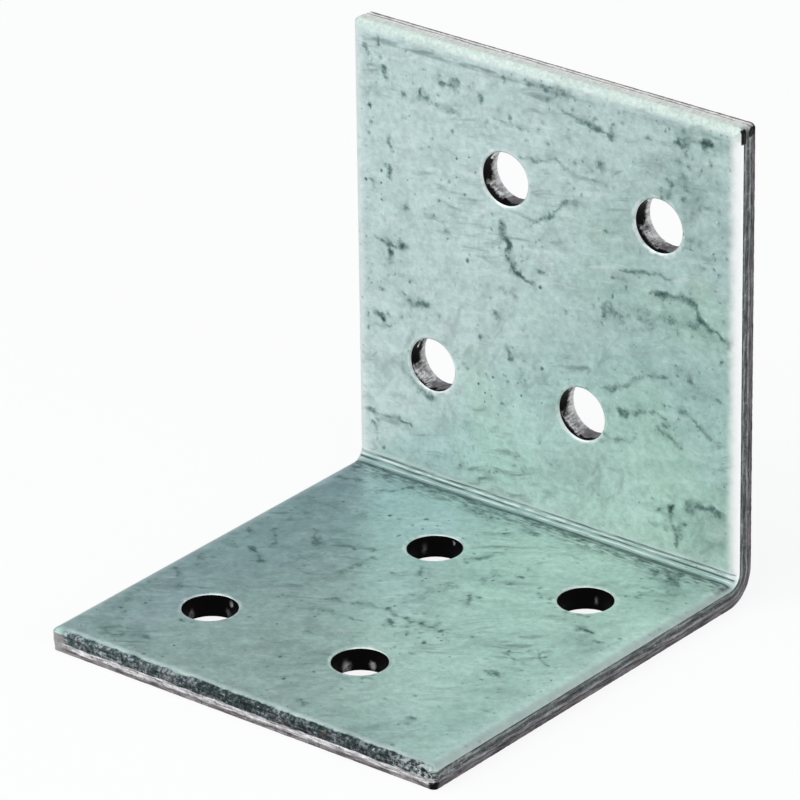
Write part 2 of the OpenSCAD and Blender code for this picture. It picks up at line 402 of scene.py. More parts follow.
class Strip:
    """Collects the strip's points, faces and surface kinds."""

    def __init__(self):
        self.points = []
        self.count = 0
        self.faces = []
        self.kinds = []

    def add(self, uvw):
        self.points.append(np.asarray(uvw, float))
        first = self.count
        self.count += len(uvw)
        return np.arange(first, self.count)

    def band(self, a, b, kind):
        n = len(a)
        for i in range(n):
            j = (i + 1) % n
            self.faces.append((a[i], a[j], b[j], b[i]))
            self.kinds.append(kind)

    def face(self, loops, extra, w, kind):
        """Fills a face between its outer loop and the loops round its holes."""
        so_far = np.concatenate(self.points)[:, :2]
        rings = [so_far[loop] for loop in loops]
        ids, edges, owner = [], [], []
        for n, loop in enumerate(loops):
            s, size = len(ids), len(loop)
            ids += list(loop)
            owner += [n] * size
            edges += [(s + i, s + (i + 1) % size) for i in range(size)]
        ids += list(self.add(np.column_stack([extra, np.full(len(extra), w)])))
        owner += [0] * len(extra)
        flat = np.concatenate(rings + [extra])
        made = delaunay_2d_cdt([Vector(p) for p in flat], edges, [], CDT_INSIDE, CDT_EPSILON)
        back = np.array([source[0] for source in made[3]])
        ids, owner = np.array(ids), np.array(owner)
        for tri in made[2]:
            corners = back[list(tri)]
            hole = owner[corners[0]]
            if hole > 0 and (owner[corners] == hole).all():
                if inside(flat[corners].mean(0), rings[hole]):
                    continue
            self.faces.append(tuple(ids[corners]))
            self.kinds.append(kind)


def lengthwise(v0, v1, step):
    """Rows along the strip, closer together round the fold."""
    rows = [np.linspace(v0, FLAT_RUN, steps(FLAT_RUN - v0, step), endpoint=False)[1:]]
    rows.append(FLAT_RUN + FOLD_RUN * np.arange(FOLD_ROWS) / FOLD_ROWS)
    rows.append(np.linspace(UP_START, v1, steps(v1 - UP_START, step), endpoint=False))
    return np.concatenate(rows)


def clear_of_edges(uv, edge, rim, step):
    """The points that lie well inside the face, off its outer edge and its holes' rims."""
    keep = (np.abs(uv[:, 0]) < HALF_W - edge - step * 0.4) & (uv[:, 1] > edge + step * 0.4)
    keep &= uv[:, 1] < STRIP_LEN - edge - step * 0.4
    for hole in HOLES:
        keep &= np.linalg.norm(uv - hole, axis=1) > HOLE_R + rim + step * 0.5
    return uv[keep]


def face_points(edge, rim, step):
    """Points that fill a face, in jittered rows."""
    across = np.linspace(-HALF_W + edge, HALF_W - edge, steps(2 * (HALF_W - edge), step) + 1)[1:-1]
    along = lengthwise(edge, STRIP_LEN - edge, step)
    uv = np.stack(np.meshgrid(across, along), -1).reshape(-1, 2)
    uv += np.random.default_rng(SEED).uniform(-FACE_JITTER, FACE_JITTER, uv.shape) * step
    return clear_of_edges(uv, edge, rim, step)


def stain_points(edge, rim, coarse):
    """Extra points where there are dirt marks, so that the marks come out sharp."""
    across = np.arange(-HALF_W, HALF_W, STAIN_STEP)
    along = np.arange(0, STRIP_LEN, STAIN_STEP)
    uv = np.stack(np.meshgrid(across, along), -1).reshape(-1, 2)
    jitter = np.random.default_rng(SEED + 9).uniform(-STAIN_JITTER, STAIN_JITTER, uv.shape)
    uv += jitter * STAIN_STEP
    uv = uv[(uv[:, 1] < FLAT_RUN - STAIN_OFF_FOLD) | (uv[:, 1] > UP_START + STAIN_OFF_FOLD)]
    uv = clear_of_edges(uv, edge, rim, coarse)
    return uv[stain_at(uv) > STAIN_LEAST]


FACE_METAL, SHEARED, PUNCHED = 0, 1, 2
tear = Waves(SEED + 1, 3.0, 0.25, 40)
tear_line = Waves(SEED + 2, 6.0, 0.5, 30)
bow = Waves(SEED + 3, 30.0, 7.0, 16)


def cut_wall(strip, ring, roll, kind, burnished_rows, torn_rows, torn_h, torn_in, rough, uneven=None):
    """A cut edge from the inner face to the outer one. Returns its first and last ring."""
    rings = []
    for inset, w in roll:
        uv = ring(inset)
        rings.append((strip.add(np.column_stack([uv, np.full(len(uv), w)])), FACE_METAL))
    base = ring(0)
    line = torn_h + TORN_LINE_WANDER * tear_line.at(base[:, 0], base[:, 1])
    if uneven:
        line = line + HOLE_CLIMB * uneven(base)
    top = roll[-1][1]
    for i in range(1, burnished_rows + 1):
        w = top + (line - top) * i / burnished_rows
        rings.append((strip.add(np.column_stack([base, w])), kind))
    outward = base - ring(-0.01)
    outward /= np.linalg.norm(outward, axis=1)[:, None]
    for i in range(1, torn_rows + 1):
        share = i / torn_rows
        w = line * (1 - share)
        # the tear is rough all the way down and calms at the outer face
        bite = 0.5 + 0.5 * tear.at(base[:, 0] + 3 * w, base[:, 1] + 5 * w)
        bite = np.clip(bite, 0, 1) * rough * min(1, 2 * share) * (1 if share < 1 else 0.4)
        uv = ring(torn_in * share) + outward * bite[:, None]
        rings.append((strip.add(np.column_stack([uv, w])), kind))
    for (a, _), (b, k) in zip(rings, rings[1:]):
        strip.band(a, b, k)
    return rings[0][0], rings[-1][0]


def hole_climb(centre):
    """How far the torn band climbs round a hole: 1 where the punch tore most, 0 on the other side."""
    middle = math.radians(CLIMB_SIDE_UPRIGHT if centre[1] > UP_START else CLIMB_SIDE_FLAT)

    def climb(uv):
        angle = np.arctan2(uv[:, 1] - centre[1], uv[:, 0] - centre[0]) - middle
        angle = np.arctan2(np.sin(angle), np.cos(angle))
        return np.exp(-((angle / math.radians(CLIMB_SPREAD)) ** 2))

    return climb


def build_strip():
    strip = Strip()
    roll = roll_profile(ROLL_R, ROLL_DEPTH, ROLL_ROWS)
    lip = roll_profile(LIP_R, LIP_DEPTH, LIP_ROWS)
    first, last = cut_wall(
        strip,
        outline,
        roll,
        SHEARED,
        burnished_rows=4,
        torn_rows=6,
        torn_h=TORN_H,
        torn_in=TORN_IN,
        rough=0.05,
    )
    inner, outer = [first], [last]
    for centre in HOLES:
        first, last = cut_wall(
            strip,
            lambda inset, c=centre: circle(c, HOLE_R + inset),
            lip,
            PUNCHED,
            burnished_rows=5,
            torn_rows=5,
            torn_h=HOLE_TORN_H,
            torn_in=HOLE_TORN_OUT,
            rough=0.04,
            uneven=hole_climb(centre),
        )
        inner.append(first)
        outer.append(last)
    edge, rim = roll[0][0], lip[0][0]
    grid = face_points(edge, rim, FACE_STEP)
    fine = stain_points(edge, rim, FACE_STEP)
    clean = grid[stain_at(grid) <= STAIN_LEAST]
    strip.face(inner, np.concatenate([clean, fine]), SHEET, FACE_METAL)
    strip.face(outer, face_points(TORN_IN, HOLE_TORN_OUT, OUTER_STEP), 0.0, FACE_METAL)
    return strip


def edge_distance(uvw):
    """Distance from the nearest sheared edge and punched hole, in the plane of the sheet."""
    u, v = uvw[:, 0], uvw[:, 1]
    sheared = np.minimum(np.minimum(HALF_W - np.abs(u), v), STRIP_LEN - v)
    punched = np.min([np.hypot(u - a, v - b) - HOLE_R for a, b in HOLES], axis=0)
    return sheared, punched


def from_hole(uvw):
    """The direction from the middle of the nearest hole, as a vector in the plane of the sheet."""
    away = uvw[:, None, :2] - np.array(HOLES)
    reach = np.linalg.norm(away, axis=2)
    nearest = reach.argmin(1)
    rows = np.arange(len(uvw))
    direction = away[rows, nearest] / reach[rows, nearest][:, None]
    return np.column_stack([direction, np.zeros(len(uvw))])


def by_side(uvw, right, left, front, top):
    """Mixes four values, one for each side of the strip, by which side is nearest."""
    u, v = uvw[:, 0], uvw[:, 1]
    gaps = np.stack([HALF_W - u, HALF_W + u, v, STRIP_LEN - v])
    gains = np.stack([side + 0 * v for side in (right, left, front, top)])
    weight = np.exp(-4 * (gaps - gaps.min(0)))
    return (weight * gains).sum(0) / weight.sum(0)


def on_upright(uvw):
    """1 on the upright leg and 0 on the flat one."""
    return np.clip((uvw[:, 1] - UP_START + LEG_BLEND) / LEG_BLEND, 0, 1)


def rim_highlight_side(uvw):
    """How strong the painted highlight on the rolled corners is: most on the upright leg's right side."""
    upright = on_upright(uvw)
    return by_side(uvw, right=0.20 + 0.80 * upright, left=0.35 + 0.10 * upright, front=0.0, top=0.12)


def rim_shade_side(uvw):
    """How deep the painted shade on the rolled corners is: most at the flat leg's front."""
    return by_side(uvw, right=0.0, left=0.35 - 0.35 * on_upright(uvw), front=1.0, top=0.0)


def coated_side(uvw):
    """1 on the top and left cut edges, which are painted pale as painted light, and 0 on the bare ones.
    """
    u, v = uvw[:, 0], uvw[:, 1]
    bare = np.minimum(HALF_W - u, v)
    covered = np.minimum(HALF_W + u, STRIP_LEN - v)
    return np.clip(0.5 + (bare - covered), 0, 1)


def new_object(name, data):
    obj = bpy.data.objects.new(name, data)
    bpy.context.scene.collection.objects.link(obj)
    return obj


def bowed(uvw, sheared, punched):
    """The strip's points, with both faces drawn in a little by broad waves."""
    away = np.minimum(sheared - BOW_OFF_EDGE, punched - BOW_OFF_HOLE) / BOW_GROWTH
    away = smooth(np.clip(away, 0, 1))
    wave = np.clip(bow.at(uvw[:, 0], uvw[:, 1]), -1, 1)
    on_inner = uvw[:, 2] > SHEET - TINY
    on_outer = uvw[:, 2] < TINY
    lifted = uvw.copy()
    lifted[on_inner, 2] += (BOW_DEPTH * away * (wave - 1))[on_inner]
    lifted[on_outer, 2] += (BOW_DEPTH * away * (1 + wave))[on_outer]
    return lifted


def add_attributes(mesh, uvw, sheared, punched):
    """What the materials read at each point of the mesh."""
    for name, values in (
        ("sheared", sheared),
        ("punched", punched),
        ("coated", coated_side(uvw)),
        ("rim_highlight", rim_highlight_side(uvw)),
        ("rim_shade", rim_shade_side(uvw)),
        ("stain", stain_at(uvw[:, :2]) * (uvw[:, 2] > SHEET - ROLL_DEPTH)),
    ):
        data = mesh.attributes.new(name, "FLOAT", "POINT").data
        data.foreach_set("value", values.astype(np.float32))
    for name, vectors in (("strip", uvw), ("round", from_hole(uvw))):
        data = mesh.attributes.new(name, "FLOAT_VECTOR", "POINT").data
        data.foreach_set("vector", vectors.astype(np.float32).ravel())


def make_bracket():
    strip = build_strip()
    uvw = np.concatenate(strip.points)
    sheared, punched = edge_distance(uvw)
    mesh = bpy.data.meshes.new("bracket")
    mesh.from_pydata((fold(bowed(uvw, sheared, punched)) * MM).tolist(), [], strip.faces)
    mesh.polygons.foreach_set("material_index", strip.kinds)
    add_attributes(mesh, uvw, sheared, punched)
    mesh.update()
    obj = new_object("bracket", mesh)
    bpy.context.view_layer.objects.active = obj
    obj.select_set(True)
    bpy.ops.object.mode_set(mode="EDIT")
    bpy.ops.mesh.select_all(action="SELECT")
    bpy.ops.mesh.normals_make_consistent(inside=False)
    bpy.ops.object.mode_set(mode="OBJECT")
    mesh.shade_smooth()
    mesh.set_sharp_from_angle(angle=math.radians(SHARP_ANGLE))
    return obj


bracket = make_bracket()
print("triangles", sum(len(p.vertices) - 2 for p in bracket.data.polygons))
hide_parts(NODE)
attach(bracket, "root")


class Nodes:
    """Short calls for building a node tree."""

    def __init__(self, owner):
        owner.use_nodes = True
        self.owner = owner
        self.tree = owner.node_tree
        self.tree.nodes.clear()

    def new(self, kind, inputs=(), **settings):
        node = self.tree.nodes.new(kind)
        for key, value in settings.items():
            setattr(node, key, value)
        for key, value in dict(inputs).items():
            self.put(value, node.inputs[key])
        return node

    def put(self, value, socket):
        if isinstance(value, bpy.types.NodeSocket):
            self.tree.links.new(value, socket)
        elif isinstance(value, tuple) and socket.type == "RGBA":
            socket.default_value = (*value, 1)
        else:
            socket.default_value = value

    def surface(self, kind, shader):
        """Links a shader to an output node of that kind."""
        self.new(kind, {"Surface": shader.outputs[0]})

    def attribute(self, name, output="Fac"):
        return self.new("ShaderNodeAttribute", attribute_name=name).outputs[output]

    def calc(self, operation, *values, clamp=False):
        """An operation on two values, and on its result and each further value."""
        result = values[0]
        for value in values[1:]:
            node = self.new("ShaderNodeMath", {0: result, 1: value}, operation=operation, use_clamp=clamp)
            result = node.outputs[0]
        return result

    def total(self, *values):
        return self.calc("ADD", *values)

    def product(self, *values):
        return self.calc("MULTIPLY", *values)

    def most(self, *values):
        return self.calc("MAXIMUM", *values)

    def less(self, value):
        return self.calc("SUBTRACT", 1, value)

    def ramp(self, value, start, end, low=0, high=1):
        """Turns value from start to end into low to high, with soft ends."""
        inputs = {"Value": value, "From Min": start, "From Max": end, "To Min": low, "To Max": high}
        return self.new("ShaderNodeMapRange", inputs, interpolation_type="SMOOTHSTEP").outputs[0]

    def window(self, value, start, full, ebb, end):
        """Rises from 0 at start to 1 at full, and falls from 1 at ebb to 0 at end."""
        return self.product(self.ramp(value, start, full), self.ramp(value, end, ebb))

    def swing(self, value, amount, reach=0.2):
        """Turns a noise about 0.5 into one from minus the amount to plus the amount."""
        return self.ramp(value, 0.5 - reach, 0.5 + reach, -amount, amount)

    def vector(self, operation, a, b=(0, 0, 0), output=0):
        return self.new("ShaderNodeVectorMath", {0: a, 1: b}, operation=operation).outputs[output]

    def axes(self, place):
        return self.new("ShaderNodeSeparateXYZ", {0: place}).outputs

    def distance(self, place, middle, stretch=(1, 1, 1)):
        """How far a place is from the middle, with each axis stretched by its factor."""
        offset = self.vector("MULTIPLY", self.vector("SUBTRACT", place, middle), stretch)
        return self.vector("LENGTH", offset, output="Value")

    def stretched(self, place, factors, shift=(0, 0, 0)):
        """Coordinates times a factor for each axis, and then shifted."""
        inputs = {0: place, 1: factors, 2: shift}
        return self.new("ShaderNodeVectorMath", inputs, operation="MULTIPLY_ADD").outputs[0]

    def turned(self, place, degrees, stretch):
        """Coordinates turned in the plane of the sheet and stretched along the turned u."""
        inputs = {"Vector": place, "Rotation": (0, 0, math.radians(-degrees))}
        turned = self.new("ShaderNodeMapping", inputs).outputs[0]
        return self.stretched(turned, (1 / stretch, 1, 1))

    def warped(self, place, length, amount):
        """Coordinates pushed about by a broad noise, so that streaks bend."""
        inputs = {"Vector": place, "Scale": 1 / length, "Detail": 1}
        push = self.new("ShaderNodeTexNoise", inputs).outputs["Color"]
        return self.stretched(push, (amount, amount, 0), place)

    def pits(self, place, spacing, radius, rarity):
        """Small round spots; radius is a share of their spacing."""
        inputs = {"Vector": place, "Scale": 1 / spacing}
        cells = self.new("ShaderNodeTexVoronoi", inputs, feature="F1").outputs
        pick = self.new("ShaderNodeSeparateColor", {0: cells["Color"]}).outputs
        size = self.ramp(pick[1], 0, 1, 0.5 * radius, radius)
        spot = self.ramp(self.calc("DIVIDE", cells["Distance"], size), 1, 0.25)
        return self.product(spot, self.ramp(pick[0], rarity, rarity + 0.15))

    def blend(self, share, a, b, mode="MIX"):
        inputs = {0: share, 6: a, 7: b}
        return self.new("ShaderNodeMix", inputs, data_type="RGBA", blend_type=mode).outputs[2]

    def scaled(self, color, factor):
        """A colour times a grey factor."""
        grey = self.new("ShaderNodeCombineColor", {0: factor, 1: factor, 2: factor})
        return self.blend(1, color, grey.outputs[0], "MULTIPLY")


class Paint(Nodes):
    """The node tree of a material. Its places u, v and w are millimetres of the strip."""

    def __init__(self, name):
        super().__init__(bpy.data.materials.new(name))
        self.place = self.attribute("strip", "Vector")
        self.u, self.v, self.w = self.axes(self.place)
        self.color = None

    @cached_property
    def upright(self):
        """1 on the upright leg and 0 on the flat one."""
        return self.ramp(self.v, UP_START - LEG_BLEND, UP_START)

    @cached_property
    def flat(self):
        return self.less(self.upright)

    @cached_property
    def edge(self):
        """The distance from the nearest sheared edge."""
        return self.attribute("sheared")

    @cached_property
    def fray(self):
        """What makes the outlines of the rims uneven."""
        return self.swing(self.noise(1.1, 3, 0.6), 0.28)

    @cached_property
    def on_face(self):
        """1 on the inner face and its rolled corners, and 0 on the cut edges."""
        return self.ramp(self.w, SHEET - 0.5, SHEET - 0.42)

    def coat(self, share, color):
        """Lays a colour over what is there."""
        self.color = self.blend(share, self.color, color)

    def noise(self, length, detail=2, roughness=0.5, distortion=0, place=None):
        place = self.place if place is None else place
        inputs = {"Vector": place, "Scale": 1 / length, "Detail": detail}
        inputs |= {"Roughness": roughness, "Distortion": distortion}
        return self.new("ShaderNodeTexNoise", inputs).outputs["Fac"]

    def patchy(self, length, shift, lowest):
        """Breaks a line up along the fold. Each shift gives a pattern of its own."""
        along = self.stretched(self.place, (1, 4, 0), (shift, 0, 0))
        return self.ramp(self.noise(length, 1.5, 0.65, place=along), 0.36, 0.60, lowest, 1)

    def metal(self, roughness, metallic, relief, depth, gloss=0.5):
        """The finished material, with the relief as a bump of that depth."""
        inputs = {"Height": relief, "Distance": depth * MM, "Strength": 1}
        normal = self.new("ShaderNodeBump", inputs).outputs[0]
        inputs = {"Base Color": self.color, "Roughness": roughness, "Metallic": metallic}
        inputs |= {"Normal": normal, "Specular IOR Level": gloss}
        shader = self.new("ShaderNodeBsdfPrincipled", inputs)
        self.surface("ShaderNodeOutputMaterial", shader)
        return self.owner


# Colours of the coated faces
TEAL = (0.480, 0.645, 0.568)
LILAC = (0.500, 0.630, 0.625)
DEEP = (0.255, 0.380, 0.352)
PALE = (0.800, 0.870, 0.855)
GRIME_AND_SHADE = (0.045, 0.078, 0.078)
SLATE = (0.262, 0.415, 0.438)
SMUDGE = (0.105, 0.190, 0.175)
FROST = (0.680, 0.830, 0.760)
CREAM = (0.56, 0.67, 0.61), (0.74, 0.79, 0.75)

# Colours that several materials use
WHITE = (0.940, 0.940, 0.935)
BLACK = (0.006, 0.006, 0.007)
# painted shade of the dark rolled corner and cut bands, with its chips and light specks
BAND_SHADE = (0.030, 0.045, 0.045), (0.105, 0.120, 0.130)
BAND_CHIP = (0.008, 0.012, 0.012)
BAND_SPARK = (0.38, 0.42, 0.44)
FLAKE = (0.42, 0.47, 0.47)

# Colours of the bare cut edges, from the inner face to the outer one, in painted shade on the right and
# painted light at the front
SIDE_CUT = (0.050, 0.064, 0.060)
SIDE_RIDGE = (0.20, 0.21, 0.215)
SIDE_TORN = (0.17, 0.172, 0.175)
SIDE_LINE = (0.045, 0.042, 0.046)
SIDE_LOW = (0.110, 0.100, 0.112)
FRONT_TORN = (0.50, 0.49, 0.50)
FRONT_LOW = (0.19, 0.18, 0.185)
FRONT_LEFT = (0.34, 0.325, 0.32)
NICK = (0.045, 0.040, 0.045)
GLINT = (0.42, 0.43, 0.44)
RUST = (0.11, 0.075, 0.055)

# Colours of the cut edges at the top and left, painted pale as painted light
LIT_CUT = (0.74, 0.77, 0.70)
LIT_TORN = (0.88, 0.86, 0.84)
LIT_RULE = (0.24, 0.22, 0.21)
LIT_LOW = (0.16, 0.13, 0.14)
LIT_CRUMB = (0.45, 0.52, 0.48)

# Colours of the holes' walls
WALL_GREY = (0.230, 0.216, 0.210), (0.98, 0.98, 0.97)
WALL_FOOT = (0.085, 0.070, 0.085)
WALL_PALE = (0.85, 0.84, 0.85)
WALL_BLACK = (0.0025, 0.0022, 0.0024)


def shaded_band(t):
    """The dark, blotchy colour of the front's rolled corner and of the cut bands: painted shade, with
    chips, light specks and flakes in it.
    """
    chips = t.noise(0.34, 2, 0.7)
    blotch = t.noise(0.85, 2, 0.6, place=t.warped(t.place, 0.8, 0.5))
    color = t.blend(t.ramp(blotch, 0.42, 0.58), *BAND_SHADE)
    color = t.blend(t.ramp(chips, 0.54, 0.44, 0, 0.8), color, BAND_CHIP)
    lighter = t.product(t.ramp(t.u, -18, 0, 1.9, 1), t.ramp(t.v, 1.5, 0.5, 1, 1.3))
    color = t.blend(t.ramp(chips, 0.62, 0.72, 0, 0.8), t.scaled(color, lighter), BAND_SPARK)
    gap = t.distance(t.place, (HALF_W, 0, SHEET / 2))
    flakes = t.product(t.ramp(gap, 5, 1.5), t.ramp(chips, 0.44, 0.58), 0.75)
    return t.blend(flakes, color, FLAKE)


def corner_bar(t):
    """The black bar at the upright leg's top right corner."""
    tall = t.window(t.v, STRIP_LEN - 1.40, STRIP_LEN - 1.25, STRIP_LEN - 0.20, STRIP_LEN - 0.05)
    across = t.product(t.window(t.w, 1.26, 1.32, 1.72, 1.78), t.ramp(t.u, HALF_W - 0.30, HALF_W - 0.20))
    return t.product(tall, across)


def broad_tones(t):
    """The coating's broad drifts of colour, with parts darkened by painted shade and paled by painted
    light.
    """
    u, v = t.u, t.v
    drift = t.noise(16, 2, 0.5, 0.4)
    cloud = t.noise(7, 3, 0.55, 0.3, t.turned(t.place, 30, 2))
    side = t.total(t.product(v, 0.006), t.product(u, -0.004), -0.24)
    t.color = t.blend(t.ramp(t.total(drift, side), 0.42, 0.62), TEAL, LILAC)
    t.coat(t.ramp(cloud, 0.50, 0.78, 0, 0.5), DEEP)

    # painted shade: the sheet's right side is darker, on the upright leg most of all, and the flat leg
    # has darker patches; its rim on the flat leg is paler
    right_shade = t.ramp(t.total(u, t.product(drift, 10)), -6, 24, 0, 0.34)
    right_shade = t.total(t.product(right_shade, t.total(0.45, t.product(t.upright, 0.55))), 0.05)
    rim_side = t.product(t.ramp(u, HALF_W - 3, HALF_W - 0.8), t.flat)
    t.coat(t.product(rim_side, t.ramp(v, FLAT_RUN, 18, 0.1, 0.5)), FROST)
    far = t.product(t.ramp(u, 5, 15), t.ramp(v, 27, 33), t.flat)
    middle = t.product(t.window(u, -6, -2, 1, 4), t.ramp(v, 17, 22), t.flat)
    t.coat(t.total(right_shade, t.product(far, 0.22), t.product(middle, 0.10)), DEEP)
    t.coat(t.product(t.window(u, 2, 7, 12, 16), t.window(v, 2, 6, 14, 18), 0.16), FROST)

    # painted shade: the flat leg is darker, greyer and bluer towards its left front
    shade = t.ramp(t.total(u, t.product(v, -0.28), t.product(cloud, 8)), 2, -17, 0, 0.50)
    t.coat(t.product(shade, t.ramp(v, 4, 24, 0.80, 1.15), t.flat), SLATE)

    # painted light: the upright leg is paler low down
    lit = t.ramp(v, UP_START + 17, UP_START, 0, 0.36)
    lit = t.total(lit, t.ramp(v, UP_START + 1.8, UP_START, 0, 0.3))
    glow = t.product(t.window(u, -8, 1, 8, 14), t.ramp(v, UP_START + 12, UP_START + 6))
    lit = t.total(lit, t.product(glow, 0.22))
    t.coat(t.product(lit, t.upright, t.ramp(u, -19, -4, 0.6, 1)), FROST)


def fine_dirt(t, mottle):
    """Streaks, smears and pits. Returns how dark they are, and the noise of the streaks."""
    swirl = t.warped(t.place, 5, 2.2)
    ways = {0: t.upright, 4: t.turned(swirl, 36, 4.5), 5: t.turned(swirl, 10, 4.5)}
    pulled = t.new("ShaderNodeMix", ways, data_type="VECTOR").outputs[1]
    streak = t.noise(0.75, 3, 0.62, 0.4, pulled)
    patch = t.ramp(t.noise(6.5), 0.46, 0.66)
    dark = t.product(t.ramp(streak, 0.50, 0.74), t.total(t.product(patch, 0.40), 0.10))
    light = t.product(t.ramp(streak, 0.46, 0.28), 0.26)
    smear = t.ramp(t.noise(1.6, 3, 0.6, 0.6, t.turned(swirl, 60, 3)), 0.50, 0.70)
    smear = t.product(smear, t.ramp(t.noise(8), 0.42, 0.62), 0.22)

    # the dark pits come in clusters, and along the edges
    crowd = t.ramp(t.noise(5, 3, 0.6), 0.44, 0.66)
    crowd = t.most(crowd, t.ramp(t.edge, 4.5, 1.5, 0, 0.6))
    loose = t.warped(t.place, 0.35, 0.22)
    pit = t.most(t.pits(loose, 1.20, 0.26, 0.45), t.pits(loose, 0.70, 0.27, 0.50))
    bright = t.pits(t.turned(t.place, 40, 1.3), 0.60, 0.24, 0.60)
    bright = t.product(bright, t.ramp(mottle, 0.42, 0.60), 0.45)

    grime = t.most(dark, t.product(pit, crowd, 0.88), smear)
    t.coat(t.most(light, bright), PALE)
    t.coat(grime, GRIME_AND_SHADE)
    return grime, streak


def dirt_marks(t):
    """The dirt marks, broken up by noise. Returns how dark they are."""
    stain = t.attribute("stain")
    ragged = t.ramp(t.noise(0.30, 3, 0.7, 0.5), 0.25, 0.75, -0.40, 0.32)
    clumps = t.ramp(t.noise(0.85, 2, 0.6), 0.35, 0.65, -0.48, 0.28)
    mark = t.ramp(t.total(stain, t.total(ragged, clumps)), 0, 1.15)
    mark = t.product(mark, t.ramp(stain, 0, 0.35))
    mark = t.total(t.product(mark, 0.60), t.product(stain, 0.50))
    t.coat(mark, t.blend(t.ramp(stain, 0.80, 1), SMUDGE, GRIME_AND_SHADE))
    return mark


# Painted shade and painted highlights in lines along the fold: (place across it, half width, length
# of a patch, shift of the patches, lowest strength between them, strength). The place is 0 at the flat
# leg and 1 at the other.
FOLD_SHADE = [
    (0.86, 0.08, 2.4, 0, 0.1, 0.8),
    (0.54, 0.08, 3.4, 20, 0.2, 1),
    (0.04, 0.15, 1.6, 40, 0.6, 1),
]
FOLD_HIGHLIGHTS = [
    (0.98, 0.09, 2, 80, 0.3, 0.7),
    (0.70, 0.08, 1.5, 100, 0, 0.7),
    (0.34, 0.08, 1.9, 140, 0, 0.5),
]


def fold_shade_and_highlights(t):
    """Where the painted shade and the painted highlights in lines along the fold are, and the fold
    itself.
    """
    share = t.calc("DIVIDE", t.calc("SUBTRACT", t.v, FLAT_RUN), FOLD_RUN)
    line = t.total(share, t.swing(t.noise(1.4, place=t.turned(t.place, 0, 5)), 0.05, 0.25))

    def stripe(middle, half, length, shift, lowest, strength):
        gap = t.calc("ABSOLUTE", t.calc("SUBTRACT", line, middle), 0)
        return t.product(t.ramp(gap, half, half * 0.35), t.patchy(length, shift, lowest), strength)

    # painted shade: a dark, crumbled band lies along the fold on the flat leg
    band = t.product(t.ramp(t.v, FLAT_RUN - 2.9, FLAT_RUN - 0.2), t.ramp(share, 0.3, 0))
    crumbled = t.ramp(t.noise(0.7, 3, 0.65), 0.3, 0.6, 0.4, 1)
    band = t.product(band, t.patchy(1.3, 60, 0.15), crumbled)

    inner = t.ramp(t.w, SHEET - 0.3, SHEET - 0.1)
    dark = t.product(t.most(*(stripe(*values) for values in FOLD_SHADE), band), inner)
    light = t.product(t.most(*(stripe(*values) for values in FOLD_HIGHLIGHTS)), inner)
    return dark, light, t.product(t.window(share, -0.05, 0.15, 0.85, 1), inner)


def rim_highlights_and_shade(t):
    """Painted highlights and painted shade on the rolled rims along the sheared edges, and pale rings
    round the holes. Returns both.
    """
    rim_highlight = t.attribute("rim_highlight")
    rim = t.product(t.ramp(t.total(t.edge, t.product(t.fray, 0.3)), 1.30, 0.25), rim_highlight)
    halo = t.ramp(t.total(t.attribute("punched"), t.product(t.fray, 0.5)), 0.42, 0.12)
    halo = t.product(halo, t.ramp(t.noise(0.7, 3, 0.65), 0.36, 0.60, 0.12, 0.5))
    rim_highlight_and_halo = t.product(t.most(rim, halo), t.on_face)
    # painted shade: the rolled corners away from the painted highlight are darker
    rolled = t.product(t.ramp(t.edge, 0.75, 0.30), t.less(rim_highlight))
    rolled = t.product(rolled, t.ramp(t.noise(0.9, 3, 0.6), 0.3, 0.7, 0.35, 0.9), 0.75)
    t.coat(rolled, DEEP)
    # painted highlight on the rolled rims, and pale rings round the holes
    t.coat(t.product(rim_highlight_and_halo, 0.92), WHITE)
    return rim_highlight_and_halo, rolled


def shaded_front_rim(t):
    """The front's black rolled corner in painted shade, with a painted highlight as a pale brim behind
    it. Returns how black it is.
    """
    near = t.total(t.edge, t.product(t.fray, 0.25))
    darkened = t.product(t.attribute("rim_shade"), t.ramp(t.u, 0.5 - HALF_W, 1.8 - HALF_W, 0.25, 1))
    black = t.product(t.ramp(near, 0.40, 0.26), darkened)
    brim = t.product(t.window(near, 0.32, 0.46, 0.65, 0.85), darkened)
    skin = t.product(t.most(black, brim), t.on_face)
    black = t.product(black, skin)
    # painted highlight on the brim, and painted shade on the black corner
    t.coat(t.product(brim, skin, 0.42), PALE)
    t.coat(black, shaded_band(t))
    return black


def top_rim(t):
    """The cream rim along the top, with faint dark dashes under it. Returns where the rim is."""
    rim = t.ramp(t.total(t.edge, t.product(t.fray, 0.4)), 0.9, 0.4)
    rim = t.product(rim, t.ramp(t.v, STRIP_LEN - 1.2, STRIP_LEN - 1))
    chips = t.noise(0.30, 3, 0.75)
    t.coat(t.product(rim, 0.7), t.blend(t.ramp(chips, 0.40, 0.62), *CREAM))
    under = t.product(t.window(t.edge, 0.95, 1.15, 1.35, 1.70), t.ramp(t.u, 6, -8, 0.2, 0.5))
    under = t.product(under, t.ramp(t.v, STRIP_LEN - 2.4, STRIP_LEN - 2.2), t.patchy(2.2, 160, 0))
    t.coat(under, GRIME_AND_SHADE)
    return rim


